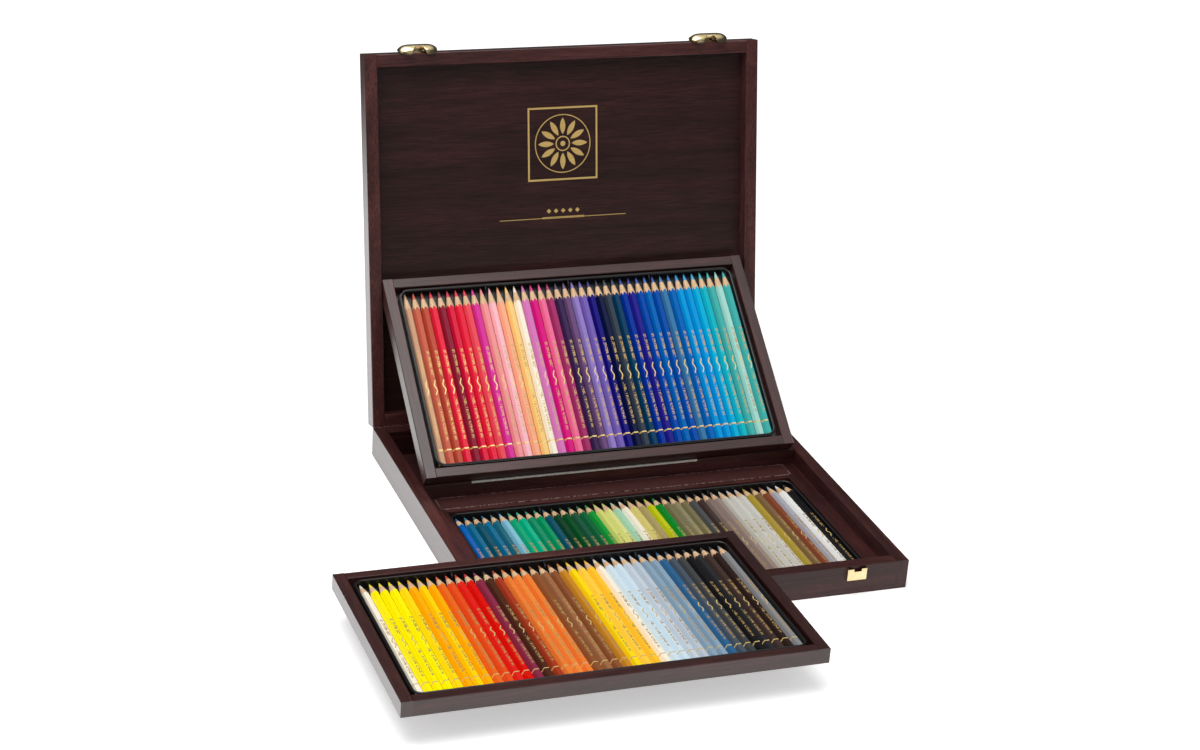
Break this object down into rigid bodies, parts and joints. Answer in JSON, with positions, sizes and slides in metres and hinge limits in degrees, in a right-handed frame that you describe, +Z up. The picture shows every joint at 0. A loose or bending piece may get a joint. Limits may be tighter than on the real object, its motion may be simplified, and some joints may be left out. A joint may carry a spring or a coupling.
{
  "type": "pencil drawer box",
  "caption": "Flat wooden pencil box with a hinged lid, a fixed insert and two lift-out trays of hexagonal colour pencils, one leaning on the lid and one on the front rim.",
  "frame": {"origin": "centre of the case's underside", "axes": "+Z up, -Y the opening side with the clasp keepers, +X to the right seen from the front"},
  "size_m": [0.4925, 0.5715, 0.3662],
  "materials": {
    "stained_wood": "dark stained, satin lacquer",
    "stained_plywood": "dark stained plywood, satin lacquer",
    "black_plastic": "thermoformed, semi-gloss",
    "brass": "polished pale brass",
    "bright_strip": "satin bright metal",
    "base_sea_blues": "lacquered cedar pencil barrels",
    "base_greens": "lacquered cedar pencil barrels",
    "base_limes": "lacquered cedar pencil barrels",
    "base_olives_and_umbers": "lacquered cedar pencil barrels",
    "base_greys_and_earths": "lacquered cedar pencil barrels",
    "display_reds": "lacquered cedar pencil barrels",
    "display_pinks": "lacquered cedar pencil barrels",
    "display_violets": "lacquered cedar pencil barrels",
    "display_blues": "lacquered cedar pencil barrels",
    "display_cyans": "lacquered cedar pencil barrels",
    "front_yellows": "lacquered cedar pencil barrels",
    "front_reds": "lacquered cedar pencil barrels",
    "front_browns": "lacquered cedar pencil barrels",
    "front_ochres_and_pales": "lacquered cedar pencil barrels",
    "front_slates_and_blacks": "lacquered cedar pencil barrels"
  },
  "bodies": {
    "case": {"case_left_side": "stained_wood", "case_right_side": "stained_wood", "case_front_rail": "stained_wood", "case_back_rail": "stained_wood", "case_bottom": "stained_plywood", "ledge_left": "stained_wood", "ledge_right": "stained_wood", "ledge_back": "stained_wood", "ledge_strip": "stained_wood", "divider": "stained_wood", "deck": "stained_wood", "pit_wall": "stained_wood", "deck_edge_strip": "bright_strip", "base_insert": "black_plastic", "base_sea_blues": "base_sea_blues", "base_greens": "base_greens", "base_limes": "base_limes", "base_olives_and_umbers": "base_olives_and_umbers", "base_greys_and_earths": "base_greys_and_earths", "hinge_case_leaves": "brass", "hinge_pins": "brass", "clasp_keepers": "brass"},
    "lid": {"lid_left_side": "stained_wood", "lid_right_side": "stained_wood", "lid_front_rail": "stained_wood", "lid_hinge_rail": "stained_wood", "lid_panel": "stained_plywood", "hinge_lid_leaves": "brass", "clasp_plates": "brass", "clasp_pins": "brass"},
    "clasp_left": {"clasp_lever_left": "brass"},
    "clasp_right": {"clasp_lever_right": "brass"},
    "display_tray": {"display_tray_left_side": "stained_wood", "display_tray_right_side": "stained_wood", "display_tray_front_rail": "stained_wood", "display_tray_back_rail": "stained_wood", "display_tray_bottom": "stained_plywood"},
    "display_row": {"display_insert": "black_plastic", "display_reds": "display_reds", "display_pinks": "display_pinks", "display_violets": "display_violets", "display_blues": "display_blues", "display_cyans": "display_cyans"},
    "front_tray": {"front_tray_left_side": "stained_wood", "front_tray_right_side": "stained_wood", "front_tray_front_rail": "stained_wood", "front_tray_back_rail": "stained_wood", "front_tray_bottom": "stained_plywood"},
    "front_row": {"front_insert": "black_plastic", "front_yellows": "front_yellows", "front_reds": "front_reds", "front_browns": "front_browns", "front_ochres_and_pales": "front_ochres_and_pales", "front_slates_and_blacks": "front_slates_and_blacks"}
  },
  "joints": [
    {"name": "lid_hinge", "type": "hinge", "parent": "case", "child": "lid", "pos_m": [0, 0.17, 0.027], "axis": [1, 0, 0], "range_deg": [0, 42]},
    {"name": "display_tray_tilt", "type": "hinge", "parent": "case", "child": "display_tray", "pos_m": [-0.002, 0.0495, 0.0273], "axis": [1, 0, 0], "range_deg": [0, 47.5]},
    {"name": "display_insert_lift", "type": "slide", "parent": "display_tray", "child": "display_row", "axis": [0, -0.6078, 0.7941], "range_m": [0, 0.06]},
    {"name": "front_tray_lift", "type": "slide", "parent": "case", "child": "front_tray", "axis": [0, 0, 1], "range_m": [0, 0.2]},
    {"name": "front_insert_lift", "type": "slide", "parent": "front_tray", "child": "front_row", "axis": [0, 0, 1], "range_m": [0, 0.06]},
    {"name": "clasp_left_swing", "type": "hinge", "parent": "lid", "child": "clasp_left", "pos_m": [-0.1405, 0.25284, 0.35967], "axis": [-1, 0, 0], "range_deg": [0, 75]},
    {"name": "clasp_right_swing", "type": "hinge", "parent": "lid", "child": "clasp_right", "pos_m": [0.1405, 0.25284, 0.35967], "axis": [-1, 0, 0], "range_deg": [0, 75]}
  ],
  "couplings": [
    {"joint": "display_tray_tilt", "follows": "lid_hinge", "ratio": 1.13}
  ]
}
